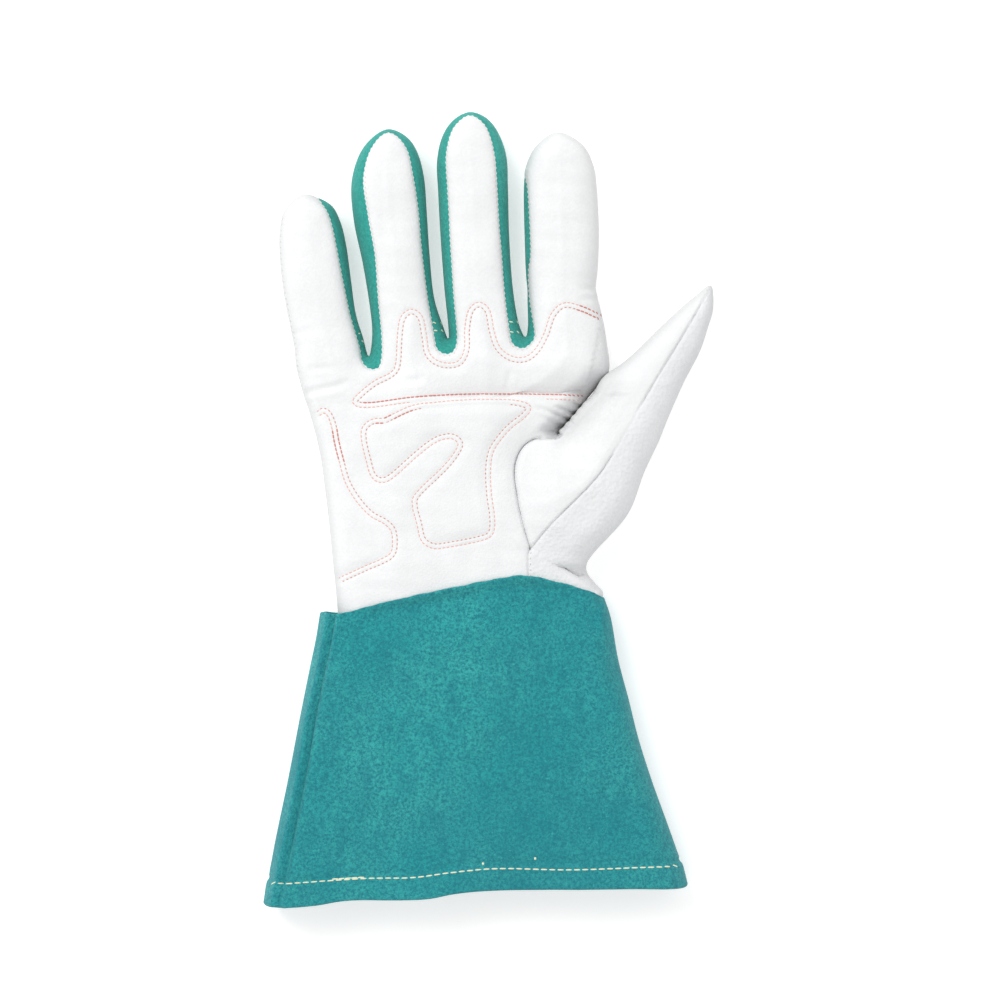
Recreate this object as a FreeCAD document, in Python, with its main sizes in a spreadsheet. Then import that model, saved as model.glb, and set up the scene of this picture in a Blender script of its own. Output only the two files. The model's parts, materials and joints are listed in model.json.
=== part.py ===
import FreeCAD, Part
import math
import os
import Sketcher

# A right-hand welding glove lying on its back: palm up (+Z), fingers towards +Y, thumb towards +X.
# The origin is under the middle of the glove, on the surface that it lies on.
# Leather that folds at a joint is a "fold" sleeve, between the stiffer lengths on each side of it.

doc = FreeCAD.newDocument("welding_glove")
sheet = doc.addObject("Spreadsheet::Sheet", "Sizes")

SIZES = {
    # leather and suede
    "leather": 1.3,
    "patch_leather": 1.1,
    "thread": 0.5,
    "stitch_inset": 1.5,
    # heights of the tubes, from the back of the glove to its palm face
    "hand_tall": 28.0,
    "finger_tall": 24.0,
    "thumb_tall": 22.0,
    "hand_round": 12.0,
    "finger_round": 10.0,
    "thumb_round": 6.5,
    # hinges
    "fold_half": 6.5,
    # side strips between the front and back leather of a finger
    "strip_low": 4.0,
    "strip_high": 20.0,
    # wrist and palm outline
    "wrist_up": -36.0,
    "wrist_left": -62.0,
    "wrist_right": 46.5,
    "palm_left": -68.0,
    "palm_left_up": 19.0,
    "index_bulge": 48.5,
    "index_bulge_up": 56.0,
    "web": 40.0,
    "web_up": 46.5,
    "thenar": 57.5,
    "thenar_up": 0.0,
    "thenar_foot": 46.5,
    "thenar_foot_up": -20.0,
    # gauntlet cuff
    "cuff_up": -50.0,
    "cuff_left": -69.8,
    "cuff_right": 49.7,
    "mouth_left": -91.2,
    "mouth_left_up": -160.0,
    "mouth_mid": -10.0,
    "mouth_mid_up": -155.0,
    "mouth_right": 80.8,
    "mouth_right_up": -152.5,
    "hem_deep": 8.0,
    "hem_leather": 2.4,
    # central palm patch: a bar under the knuckles with a short lobe and a long leg
    "pad_left": -50.5,
    "pad_right": 15.5,
    "pad_top": 43.0,
    "pad_lobe_foot": 12.0,
    "pad_notch_up": 28.0,
    "pad_leg_left": -30.0,
    "pad_leg_right": 0.5,
    "pad_foot": -15.0,
    # knuckle patch: a band under the fingers
    "band_left": -53.0,
    "band_right": 33.0,
    "band_top": 57.0,
    "band_foot": 44.5,
    # heel patch, on the little-finger side
    "heel_top": 38.5,
    "heel_right": -38.5,
    "heel_foot": -29.0,
    # seam that sets the thumb into the palm, and the seam up the middle of the thumb
    "thumb_seam_left": 10.5,
    "thumb_seam_foot": -27.0,
    "thumb_seam_fork": -16.5,
    "thumb_seam_top": 37.2,
    "thumb_middle_seam": 30.0,
    "thumb_middle_seam_up": -1.0,
    # hem stitching stays this far from the rounded sides of the cuff
    "hem_row_inset": 26.0,
}

# Each digit: hinge at its root (across, up), lean to the left, length to the tip, distance from the root
# hinge to the second hinge, widths at the root, the second hinge and the tip, tip corner radius.
DIGITS = {
    "little": (-65.5, 71.3, 8.8, 56.4, 25.6, 28.4, 28.0, 25.5, 12.0),
    "ring": (-33.1, 75.4, 6.3, 78.2, 37.6, 28.8, 28.4, 27.6, 13.2),
    "middle": (-2.6, 78.4, 4.0, 81.8, 39.6, 28.8, 28.6, 27.6, 13.2),
    "index": (30.7, 78.4, 2.0, 74.0, 35.6, 30.6, 29.6, 28.0, 13.2),
    "thumb": (52.9, 34.4, -35.0, 63.5, 30.0, 35.0, 24.5, 15.0, 7.2),
}
DIGIT_SIZES = ("across", "up", "lean", "long", "bend", "root_wide", "bend_wide", "tip_wide", "tip_round")
for digit, numbers in DIGITS.items():
    for size, number in zip(DIGIT_SIZES, numbers):
        SIZES[f"{digit}_{size}"] = number

for row, (alias, number) in enumerate(SIZES.items(), start=1):
    sheet.set(f"A{row}", alias)
    sheet.set(f"B{row}", str(number))
    sheet.setAlias(f"B{row}", alias)
doc.recompute()


def size(alias):
    return float(sheet.get(alias))


def origin_plane(body, role):
    return next(plane for plane in body.Origin.OriginFeatures if plane.Role == role)


def outline(body, corners):
    """A closed straight-edged sketch on the body's XY plane, each corner a pair of expressions."""
    sketch = body.newObject("Sketcher::SketchObject", body.Name + "_outline")
    sketch.AttachmentSupport = [(origin_plane(body, "XY_Plane"), "")]
    sketch.MapMode = "FlatFace"
    spots = [FreeCAD.Vector(*(float(sheet_value(text)) for text in corner), 0) for corner in corners]
    count = len(spots)
    for index in range(count):
        sketch.addGeometry(Part.LineSegment(spots[index], spots[(index + 1) % count]))
    for index in range(count):
        sketch.addConstraint(Sketcher.Constraint("Coincident", index, 2, (index + 1) % count, 1))
    for index, (across, up) in enumerate(corners):
        for kind, text, number in (("DistanceX", across, spots[index].x), ("DistanceY", up, spots[index].y)):
            place = sketch.addConstraint(Sketcher.Constraint(kind, -1, 1, index, 1, number))
            sketch.setExpression(f"Constraints[{place}]", text)
    return sketch


def sheet_value(text):
    """The number that an expression of sheet cells has now."""
    value = sheet.evalExpression(text)
    return getattr(value, "Value", value)


def digit_point(digit, forward, aside):
    """Expressions of a point on the hand, measured from a digit's root hinge along and across the digit."""
    lean = f"Sizes.{digit}_lean"
    across = f"Sizes.{digit}_across - ({forward}) * sin({lean}) + ({aside}) * cos({lean})"
    up = f"Sizes.{digit}_up + ({forward}) * cos({lean}) + ({aside}) * sin({lean})"
    return across, up


def middle(first, second):
    """The middle of the side between two corners."""
    return [(sheet_value(first[axis]) + sheet_value(second[axis])) / 2 for axis in (0, 1)]


SAME_PLACE = 0.6
LEVEL = 0.01


def stands_over(part, spots):
    """Whether the middle of a face or an edge is over one of the given spots."""
    centre = part.BoundBox.Center
    return any(math.hypot(centre.x - across, centre.y - up) < SAME_PLACE for across, up in spots)


def upright_faces(shape, spots):
    """Names of the upright faces that stand over the given spots."""
    return [
        f"Face{number}" for number, face in enumerate(shape.Faces, start=1)
        if abs(face.normalAt(0, 0).z) < 0.1 and stands_over(face, spots)
    ]


def upright_edges(shape, spots):
    return [
        f"Edge{number}" for number, edge in enumerate(shape.Edges, start=1)
        if edge.BoundBox.ZLength > LEVEL and edge.BoundBox.XLength < LEVEL and stands_over(edge, spots)
    ]


def rim_edges(shape, open_spots):
    """Names of the level edges that don't border an open end."""
    return [
        f"Edge{number}" for number, edge in enumerate(shape.Edges, start=1)
        if edge.BoundBox.ZLength < LEVEL and not stands_over(edge, open_spots)
    ]


def inset_corners(corners, depth):
    """The corners moved square to their sides into the outline by a depth, given as an expression."""
    spots = [FreeCAD.Vector(sheet_value(across), sheet_value(up), 0) for across, up in corners]
    count = len(spots)
    turned = sum(spots[number].cross(spots[(number + 1) % count]).z for number in range(count))
    moved = []
    for number, (across, up) in enumerate(corners):
        before = (spots[number] - spots[number - 1]).normalize()
        after = (spots[(number + 1) % count] - spots[number]).normalize()
        inward = [FreeCAD.Vector(-way.y, way.x, 0) * math.copysign(1, turned) for way in (before, after)]
        shift = (inward[0] + inward[1]) / (1 + inward[0].dot(inward[1]))
        moved.append((f"{across} + {shift.x:.5f} * ({depth})", f"{up} + {shift.y:.5f} * ({depth})"))
    return moved


def slab(name, corners, tall):
    """A body padded from an outline."""
    body = doc.addObject("PartDesign::Body", name)
    pad = body.newObject("PartDesign::Pad", name + "_slab")
    pad.Profile = outline(body, corners)
    pad.setExpression("Length", tall)
    doc.recompute()
    return body


def rounded_slab(name, corners, tall, sharp_sides, edge_round, corner_rounds=()):
    """A slab with its rims rounded except along the sharp sides.

    corner_rounds pairs corner numbers with the radius that those corners have in plan.
    """
    body = slab(name, corners, tall)
    base = body.Tip
    for numbers, radius in corner_rounds:
        spots = [[sheet_value(text) for text in corners[number]] for number in numbers]
        rounding = body.newObject("PartDesign::Fillet", name + "_corners")
        rounding.Base = (base, upright_edges(base.Shape, spots))
        rounding.setExpression("Radius", radius)
        doc.recompute()
        base = rounding
    sharp_spots = [middle(corners[side], corners[(side + 1) % len(corners)]) for side in sharp_sides]
    rims = body.newObject("PartDesign::Fillet", name + "_rims")
    rims.Base = (base, rim_edges(base.Shape, sharp_spots))
    rims.setExpression("Radius", edge_round)
    doc.recompute()
    return body


def tube(name, corners, ends, tall, edge_round, wall, corner_rounds=()):
    """A flattened leather tube, open at the sides of its outline numbered in ends."""
    body = rounded_slab(name, corners, tall, ends, edge_round, corner_rounds)
    rims = body.Tip
    spots = [middle(corners[side], corners[(side + 1) % len(corners)]) for side in ends]
    hollow = body.newObject("PartDesign::Thickness", name + "_wall")
    hollow.Base = (rims, upright_faces(rims.Shape, spots))
    hollow.setExpression("Value", wall)
    hollow.Reversed = True
    doc.recompute()
    return body


def box(name, west, east, south, north, low, high):
    """A cutting block between pairs of expressions."""
    block = doc.addObject("Part::Box", name)
    block.setExpression("Length", f"{east} - ({west})")
    block.setExpression("Width", f"{north} - ({south})")
    block.setExpression("Height", f"{high} - ({low})")
    block.setExpression("Placement.Base.x", west)
    block.setExpression("Placement.Base.y", south)
    block.setExpression("Placement.Base.z", low)
    return block


def boolean(kind, name, base, tool):
    made = doc.addObject(f"Part::{kind}", name)
    made.Base = base
    made.Tool = tool
    return made


def several(name, blocks):
    """One block, or a fusion of several."""
    if len(blocks) == 1:
        return blocks[0]
    made = doc.addObject("Part::MultiFuse", name)
    made.Shapes = blocks
    return made


def lay_along(piece, digit):
    """Puts a piece made along its own Y axis on the digit's root hinge, leaning as the digit does."""
    piece.setExpression("Placement.Base.x", f"Sizes.{digit}_across")
    piece.setExpression("Placement.Base.y", f"Sizes.{digit}_up")
    piece.setExpression("Placement.Rotation.Angle", f"Sizes.{digit}_lean")


# ---- digits ----

WIDE = "60"
SIDE_NAMES = {-1: "left", 1: "right"}
PIECES = {}
SPANS = {
    "base": ("Sizes.fold_half", "Sizes.{0}_bend - Sizes.fold_half"),
    "tip": ("Sizes.{0}_bend + Sizes.fold_half", "Sizes.{0}_long + 1"),
    "knuckle_fold": ("-Sizes.fold_half", "Sizes.fold_half"),
    "middle_fold": ("Sizes.{0}_bend - Sizes.fold_half", "Sizes.{0}_bend + Sizes.fold_half"),
}


def digit_form(digit, tall, edge_round):
    stations = (("-Sizes.fold_half", "root"), (f"Sizes.{digit}_bend", "bend"), (f"Sizes.{digit}_long", "tip"))
    left = [(f"-Sizes.{digit}_{wide}_wide / 2", forward) for forward, wide in stations]
    right = [(f"Sizes.{digit}_{wide}_wide / 2", forward) for forward, wide in stations]
    tip_round = [((2, 3), f"Sizes.{digit}_tip_round")]
    return tube(digit + "_form", left + right[::-1], [5], tall, edge_round, "Sizes.leather", tip_round)


def digit_piece(node, digit, form, span, zones):
    """The part of a digit's tube in one span of its length and in the zones (west, east, low, high)."""
    south, north = (text.format(digit) for text in SPANS[span])
    blocks = [
        box(f"{node}_zone_{number}", zone[0], zone[1], south, north, zone[2], zone[3])
        for number, zone in enumerate(zones, start=1)
    ]
    piece = boolean("Common", node, form, several(node + "_zones", blocks))
    lay_along(piece, digit)
    PIECES[node] = piece


def finger(digit, strip_sides):
    """Front and back leather, and side strips on the given sides (-1 left, 1 right), on both lengths."""
    form = digit_form(digit, "Sizes.finger_tall", "Sizes.finger_round")
    half_tall = "Sizes.finger_tall / 2"
    front = [("-" + WIDE, WIDE, "Sizes.strip_high", "Sizes.finger_tall")]
    back = [("-" + WIDE, WIDE, "0", "Sizes.strip_low")]
    side_of = {-1: ("-" + WIDE, "0"), 1: ("0", WIDE)}
    for side, (west, east) in side_of.items():
        if side not in strip_sides:
            front.append((west, east, half_tall, "Sizes.strip_high"))
            back.append((west, east, "Sizes.strip_low", half_tall))
    for length in ("base", "tip"):
        digit_piece(f"{digit}_{length}_front", digit, form, length, front)
        digit_piece(f"{digit}_{length}_back", digit, form, length, back)
    strips = {side: (*side_of[side], "Sizes.strip_low", "Sizes.strip_high") for side in strip_sides}
    for side, zone in strips.items():
        digit_piece(f"{digit}_base_strip_{SIDE_NAMES[side]}", digit, form, "base", [zone])
    if len(strips) == 2:
        loop = ("-" + WIDE, WIDE, "Sizes.strip_low", "Sizes.strip_high")
        digit_piece(f"{digit}_tip_strip", digit, form, "tip", [loop])
    else:
        digit_piece(f"{digit}_tip_strip", digit, form, "tip", list(strips.values()))
    for fold in ("knuckle_fold", "middle_fold"):
        digit_piece(f"{digit}_{fold}", digit, form, fold, [("-" + WIDE, WIDE, "0", "Sizes.finger_tall")])


def thumb():
    """Left and right panels, which meet at the seams up the front and the back of the thumb."""
    form = digit_form("thumb", "Sizes.thumb_tall", "Sizes.thumb_round")
    for length in ("base", "tip"):
        for name, west, east in (("left", "-" + WIDE, "0"), ("right", "0", WIDE)):
            digit_piece(f"thumb_{length}_{name}", "thumb", form, length, [(west, east, "0", "Sizes.thumb_tall")])
    for fold in ("knuckle_fold", "middle_fold"):
        digit_piece(f"thumb_{fold}", "thumb", form, fold, [("-" + WIDE, WIDE, "0", "Sizes.thumb_tall")])


# ---- hand ----

def hand_corners():
    """The outline of the palm, and the numbers of its open sides (wrist, fingers, thumb) and its web sides."""
    corners = [
        ("Sizes.wrist_right", "Sizes.wrist_up"),
        ("Sizes.wrist_left", "Sizes.wrist_up"),
        ("Sizes.palm_left", "Sizes.palm_left_up"),
    ]
    mouths = [0]
    for digit in ("little", "ring", "middle", "index", "thumb"):
        if digit == "thumb":
            corners.append(("Sizes.index_bulge", "Sizes.index_bulge_up"))
            corners.append(("Sizes.web", "Sizes.web_up"))
        mouths.append(len(corners))
        for side in (-1, 1):
            corners.append(digit_point(digit, "-Sizes.fold_half", f"{side} * Sizes.{digit}_root_wide / 2"))
    webs = [mouth + 1 for mouth in mouths[1:4]]
    corners.append(("Sizes.thenar", "Sizes.thenar_up"))
    corners.append(("Sizes.thenar_foot", "Sizes.thenar_foot_up"))
    return corners, mouths, webs


def mouth_block(name, corners, tall, edge_round):
    """A rounded block through an open end of the hand, as high as the inside of the tube that joins there."""
    block = rounded_slab(name, corners, f"{tall} - 2 * Sizes.leather", [0, 2], f"{edge_round} - Sizes.leather")
    block.setExpression("Placement.Base.z", "Sizes.leather")
    return block


def mouth_corners(west, east, south, north):
    return [(west, south), (east, south), (east, north), (west, north)]


def spline_face(points, height):
    """A level face whose outline is a closed smooth curve through points of the hand."""
    curve = Part.BSplineCurve()
    curve.interpolate([FreeCAD.Vector(across, up, height) for across, up in points], PeriodicFlag=True)
    return Part.Face(Part.Wire(curve.toShape()))


def raised(face, tall):
    """A solid from a level face upwards."""
    solid = face.extrude(FreeCAD.Vector(0, 0, tall))
    return solid if solid.Volume > 0 else solid.reversed()


def solid_object(name, solid):
    made = doc.addObject("Part::Feature", name)
    made.Shape = solid
    return made


def row_ring(points, inset, low, tall):
    """A ribbon one thread wide that follows inside a closed smooth curve."""
    face = spline_face(points, low)
    outer, inner = (face.makeOffset2D(-depth) for depth in (inset, inset + size("thread")))
    return raised(outer, tall).cut(raised(inner, tall)).toNurbs()


def polygon_prism(name, points, low, high):
    wire = Part.makePolygon([FreeCAD.Vector(across, up, low) for across, up in points + points[:1]])
    return solid_object(name, raised(Part.Face(wire), high - low))


def patch_outlines():
    """Closed outlines of the three patches sewn inside the palm, worked out from their edges."""
    left, right, top = size("pad_left"), size("pad_right"), size("pad_top")
    leg_left, leg_right, foot = size("pad_leg_left"), size("pad_leg_right"), size("pad_foot")
    lobe_foot, notch = size("pad_lobe_foot"), size("pad_notch_up")
    lobe_right = (left + leg_left) / 2
    palm = [
        (left, notch), (left + 4, top - 5), (leg_left, top - 2), (leg_right, top), (right, top - 3),
        (leg_right + 6, notch), (leg_right, lobe_foot), (leg_right, foot + 8), (leg_left + 10, foot),
        (leg_left + 1, foot + 12), (leg_left + 2, lobe_foot - 3), (-13, notch - 3), (-22, notch - 1),
        (lobe_right, lobe_foot + 1), (left + 4, lobe_foot + 4),
    ]
    west, east, north, south = size("band_left"), size("band_right"), size("band_top"), size("band_foot")
    band = [
        (west, (north + south) / 2 - 4), (west + 14, north - 4), ((west + east) / 2 - 6, north),
        (east - 12, north + 1), (east, (north + south) / 2), (east - 10, south + 1),
        ((west + east) / 2, south + 2), (west + 14, south - 1),
    ]
    beyond = size("palm_left") - 12
    top, right, foot = size("heel_top"), size("heel_right"), size("heel_foot")
    heel = [
        (beyond, top - 4), (beyond + 14, top), (right - 24, top - 18), (right - 10, 4), (right, -10),
        (right - 6, -22), (right - 22, foot), (beyond + 4, foot),
    ]
    return {"palm_patch": palm, "knuckle_patch": band, "heel_patch": heel}


def shell_split(name, shell, low_node, high_node, tall):
    """Splits a tube level with its middle into a back and a front shell."""
    span = ("-200", "200", "-200", "200")
    low = boolean("Common", low_node, shell, box(name + "_low_zone", *span, "0", f"{tall} / 2"))
    high = boolean("Common", high_node, shell, box(name + "_high_zone", *span, f"{tall} / 2", tall))
    return low, high


def hand():
    corners, mouths, webs = hand_corners()
    tall, edge_round = "Sizes.hand_tall", "Sizes.hand_round"
    form = rounded_slab("hand_form", corners, tall, mouths + webs, edge_round)
    space = rounded_slab("hand_space", inset_corners(corners, "Sizes.leather"), f"{tall} - 2 * Sizes.leather",
                         mouths + webs, f"{edge_round} - Sizes.leather")
    space.setExpression("Placement.Base.z", "Sizes.leather")
    openings = [space]
    for digit in ("little", "ring", "middle", "index", "thumb"):
        half_wide = f"(Sizes.{digit}_root_wide / 2 - Sizes.leather)"
        rows = ("-Sizes.fold_half - Sizes.leather - 1", "-Sizes.fold_half + 1")
        kind = "thumb" if digit == "thumb" else "finger"
        mouth = mouth_block(digit + "_mouth", mouth_corners("-" + half_wide, half_wide, *rows),
                            f"Sizes.{kind}_tall", f"Sizes.{kind}_round")
        lay_along(mouth, digit)
        openings.append(mouth)
    sides = ("Sizes.wrist_left + Sizes.leather", "Sizes.wrist_right - Sizes.leather")
    rows = ("Sizes.wrist_up - 1", "Sizes.wrist_up + Sizes.leather + 1")
    openings.append(mouth_block("wrist_mouth", mouth_corners(*sides, *rows), tall, edge_round))
    shell = boolean("Cut", "hand_shell", form, several("hand_inside", openings))
    PIECES["back_panel"], front = shell_split("hand", shell, "back_panel", "hand_front", tall)

    middle_tall, above = size("hand_tall") / 2, size("hand_tall") + 5
    seam_left, seam_foot, fork = size("thumb_seam_left"), size("thumb_seam_foot"), size("thumb_seam_fork")
    seam_top, east = size("thumb_seam_top"), size("thenar") + 12
    seam_start = [(seam_left + 4, seam_foot), (seam_left + 6, fork)]
    seam_left_bow = [(seam_left, 6), (seam_left + 4, 25), (seam_left + 17, 30), (seam_left + 22.5, seam_top)]
    mouth_middle = tuple(sheet_value(text) for text in digit_point("thumb", "-Sizes.fold_half", "0"))
    middle_seam = [(size("thumb_middle_seam"), size("thumb_middle_seam_up")), mouth_middle]
    beyond = [(east, seam_top + 3), (east, seam_foot)]
    wing = polygon_prism("thumb_wing_zone", seam_start + seam_left_bow + beyond, middle_tall, above)
    right = polygon_prism("thumb_right_zone", seam_start + middle_seam + beyond, middle_tall, above)
    wing_shell = boolean("Common", "thumb_wing", front, wing)
    PIECES["palm_panel"] = boolean("Cut", "palm_panel", front, wing)
    PIECES["thumb_wing_left"] = boolean("Cut", "thumb_wing_left", wing_shell, right)
    PIECES["thumb_wing_right"] = boolean("Common", "thumb_wing_right", wing_shell, right)

    lining = "(Sizes.leather + Sizes.patch_leather)"
    within = rounded_slab("patch_inside", inset_corners(corners, lining), f"{tall} - 2 * {lining}", mouths + webs,
                          f"{edge_round} - {lining}")
    within.setExpression("Placement.Base.z", lining)
    patch_skin = boolean("Cut", "patch_skin", space, within)
    rows = []
    thread_low = size("hand_tall")
    for node, points in patch_outlines().items():
        zone = solid_object(node + "_zone", raised(spline_face(points, middle_tall), above - middle_tall))
        PIECES[node] = boolean("Common", node, patch_skin, zone)
        for number in (1, 2):
            ring = row_ring(points, number * size("stitch_inset"), thread_low, size("thread"))
            rows.append(solid_object(f"{node}_row_{number}", ring))
    rim = size("hand_round") + 1
    level = polygon_prism("level_zone", [
        (size("wrist_left") + rim, size("wrist_up")), (size("palm_left") + rim, size("palm_left_up")),
        (size("band_left") - 4, size("band_top") + 5), (size("index_bulge") - rim, size("band_top") + 5),
        (size("index_bulge") - rim, size("wrist_up")),
    ], thread_low, thread_low + size("thread"))
    threads = doc.addObject("Part::Compound", "palm_stitching")
    threads.Links = [boolean("Common", row.Name + "_on_palm", row, level) for row in rows]
    PIECES["palm_stitching"] = threads


# ---- cuff ----

def hem_line(side):
    """The point of a cuff edge that is one hem's depth above the mouth."""
    top = (f"Sizes.cuff_{side}", "Sizes.cuff_up")
    foot = (f"Sizes.mouth_{side}", f"Sizes.mouth_{side}_up")
    share = f"Sizes.hem_deep / (Sizes.cuff_up - Sizes.mouth_{side}_up)"
    return tuple(f"{low} + ({high} - ({low})) * {share}" for low, high in zip(foot, top))


def cuff():
    tall, edge_round = "Sizes.hand_tall", "Sizes.hand_round"
    top = [("Sizes.cuff_right", "Sizes.cuff_up"), ("Sizes.cuff_left", "Sizes.cuff_up")]
    hem_mid = ("Sizes.mouth_mid", "Sizes.mouth_mid_up + Sizes.hem_deep")
    hem_top = [hem_line("left"), hem_mid, hem_line("right")]
    mouth = [(f"Sizes.mouth_{place}", f"Sizes.mouth_{place}_up") for place in ("left", "mid", "right")]
    body_tube = tube("cuff_form", top + hem_top, [0, 2, 3], tall, edge_round, "Sizes.leather")
    PIECES["cuff_back"], PIECES["cuff_front"] = shell_split("cuff", body_tube, "cuff_back", "cuff_front", tall)
    PIECES["cuff_hem"] = tube("cuff_hem", hem_top[::-1] + mouth, [0, 1, 3, 4], tall, edge_round, "Sizes.hem_leather")
    wrist = [("Sizes.wrist_right", "Sizes.wrist_up"), ("Sizes.wrist_left", "Sizes.wrist_up")]
    PIECES["wrist_fold"] = tube("wrist_fold", wrist + top[::-1], [0, 2], tall, edge_round, "Sizes.leather")
    sides = ("Sizes.mouth_left + Sizes.hem_row_inset", "Sizes.mouth_right - Sizes.hem_row_inset")
    row = box("hem_row_zone", *sides, "-200", "200", tall, f"{tall} + Sizes.thread")
    lines = [("Sizes.mouth_left", "Sizes.mouth_left_up"), ("Sizes.mouth_mid", "Sizes.mouth_mid_up"),
             ("Sizes.mouth_right", "Sizes.mouth_right_up")]
    shifts = ("Sizes.hem_deep", "Sizes.hem_deep - Sizes.thread")
    upper, lower = ([(across, f"{up} + {shift}") for across, up in lines] for shift in shifts)
    strip = slab("hem_row", upper + lower[::-1], f"{tall} + Sizes.thread")
    PIECES["hem_stitching"] = boolean("Common", "hem_stitching", strip, row)


def check():
    """Stops the run if any object failed or any piece is not a valid solid."""
    failed = [thing.Name for thing in doc.Objects if {"Invalid", "Error"} & set(thing.State)]
    for node, piece in PIECES.items():
        shape = piece.Shape
        if shape.isNull() or not shape.isValid() or shape.Volume <= 0 or not shape.Solids:
            failed.append(node)
    if failed:
        raise RuntimeError(f"failed: {failed}")


finger("little", (1,))
finger("ring", (-1, 1))
finger("middle", (-1, 1))
finger("index", (-1,))
thumb()
hand()
cuff()
doc.recompute()
check()

os.makedirs("parts", exist_ok=True)
for node, piece in PIECES.items():
    piece.Label = node
    piece.Shape.exportStep(f"parts/{node}.step")
print(f"{len(PIECES)} pieces written")
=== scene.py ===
import json
import math

import bpy
import numpy as np
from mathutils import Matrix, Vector
from mathutils.bvhtree import BVHTree
from mathutils.geometry import delaunay_2d_cdt


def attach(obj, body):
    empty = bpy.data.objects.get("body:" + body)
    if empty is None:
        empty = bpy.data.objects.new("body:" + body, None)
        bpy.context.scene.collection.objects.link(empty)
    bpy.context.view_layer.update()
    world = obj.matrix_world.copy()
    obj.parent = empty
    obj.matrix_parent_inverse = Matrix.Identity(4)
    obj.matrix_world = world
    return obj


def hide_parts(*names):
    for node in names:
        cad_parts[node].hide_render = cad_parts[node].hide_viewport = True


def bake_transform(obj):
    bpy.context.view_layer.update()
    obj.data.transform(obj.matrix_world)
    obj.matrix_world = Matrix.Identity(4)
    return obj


# A right-hand welding glove, palm up. Lengths are in millimetres until a mesh is made.

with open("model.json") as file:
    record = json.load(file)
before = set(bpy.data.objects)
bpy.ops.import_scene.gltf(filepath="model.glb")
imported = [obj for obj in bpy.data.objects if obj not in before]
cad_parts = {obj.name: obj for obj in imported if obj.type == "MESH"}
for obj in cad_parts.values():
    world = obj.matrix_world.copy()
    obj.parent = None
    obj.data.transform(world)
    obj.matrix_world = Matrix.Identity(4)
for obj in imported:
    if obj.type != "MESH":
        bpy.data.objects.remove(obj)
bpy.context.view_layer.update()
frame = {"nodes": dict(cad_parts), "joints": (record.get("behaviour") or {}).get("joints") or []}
MM = 0.001


# ---- small helpers ----

def ramp(value, start, end):
    """0 at the start, 1 at the end, smooth between."""
    share = np.clip((np.asarray(value, float) - start) / (end - start), 0, 1)
    return share * share * (3 - 2 * share)


def fade(distance, reach):
    """1 at no distance, falling away over the reach."""
    return np.exp(-(distance / reach) ** 2)


def smooth_curve(points, step=0.9):
    """Evenly spaced points of a smooth curve through the given points."""
    points = np.array(points, float)
    held = np.vstack([2 * points[0] - points[1], points, 2 * points[-1] - points[-2]])
    share = np.linspace(0, 1, 24, endpoint=False)[:, None]
    pieces = [
        0.5 * (2 * b + (c - a) * share + (2 * a - 5 * b + 4 * c - d) * share ** 2
               + (3 * b - a - 3 * c + d) * share ** 3)
        for a, b, c, d in zip(held, held[1:], held[2:], held[3:])
    ]
    return even_points(np.vstack(pieces + [points[-1:]]), step)


def run_along(line):
    """How far along the line each of its points is."""
    return np.concatenate([[0], np.cumsum(np.linalg.norm(np.diff(line, axis=0), axis=1))])


def along_line(line, run, marks):
    """The points of a line at the given runs."""
    return np.stack([np.interp(marks, run, line[:, axis]) for axis in (0, 1)], axis=1)


def even_points(line, step):
    run = run_along(line)
    return along_line(line, run, np.linspace(0, run[-1], max(2, round(run[-1] / step)) + 1))


def line_distance(spots, line):
    """Distance from each spot to an open line, how far along it that is, and the side it is on (1 left)."""
    best = np.full(len(spots), 1e9)
    along = np.zeros(len(spots))
    side = np.zeros(len(spots))
    run = 0.0
    for start, end in zip(line, line[1:]):
        way = end - start
        length = math.hypot(*way)
        share = np.clip(((spots - start) @ way) / length ** 2, 0, 1)
        gap = spots - start - share[:, None] * way
        far = np.hypot(gap[:, 0], gap[:, 1])
        near = far < best
        best[near] = far[near]
        along[near] = (run + share * length)[near]
        side[near] = np.sign(way[0] * gap[:, 1] - way[1] * gap[:, 0])[near]
        run += length
    return best, along, side


def gap_to(line, spots):
    """Distance from each spot to an open line."""
    return line_distance(spots, line)[0]


def beside(line, distance):
    """Points at a distance to the left of a line; negative is to the right."""
    way = np.gradient(line, axis=0)
    way /= np.linalg.norm(way, axis=1)[:, None]
    return line + distance * np.stack([-way[:, 1], way[:, 0]], axis=1)


def inside(spots, loop):
    found = np.zeros(len(spots), bool)
    for start, end in zip(loop, np.roll(loop, -1, axis=0)):
        crosses = (start[1] > spots[:, 1]) != (end[1] > spots[:, 1])
        reach = (end[0] - start[0]) * (spots[:, 1] - start[1]) / (end[1] - start[1] + 1e-12) + start[0]
        found ^= crosses & (spots[:, 0] < reach)
    return found


def ripple(spots, wave, seed):
    """Soft unevenness about 1 high, with bumps about one wave apart."""
    source = np.random.default_rng(seed)
    total = np.zeros(len(spots))
    for _ in range(9):
        way = source.normal(size=spots.shape[1])
        way *= 2 * math.pi / wave * source.uniform(0.6, 1.5) / np.linalg.norm(way)
        total += np.sin(spots @ way + source.uniform(0, 2 * math.pi))
    return total / 3


# ---- where the digits are ----

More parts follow.
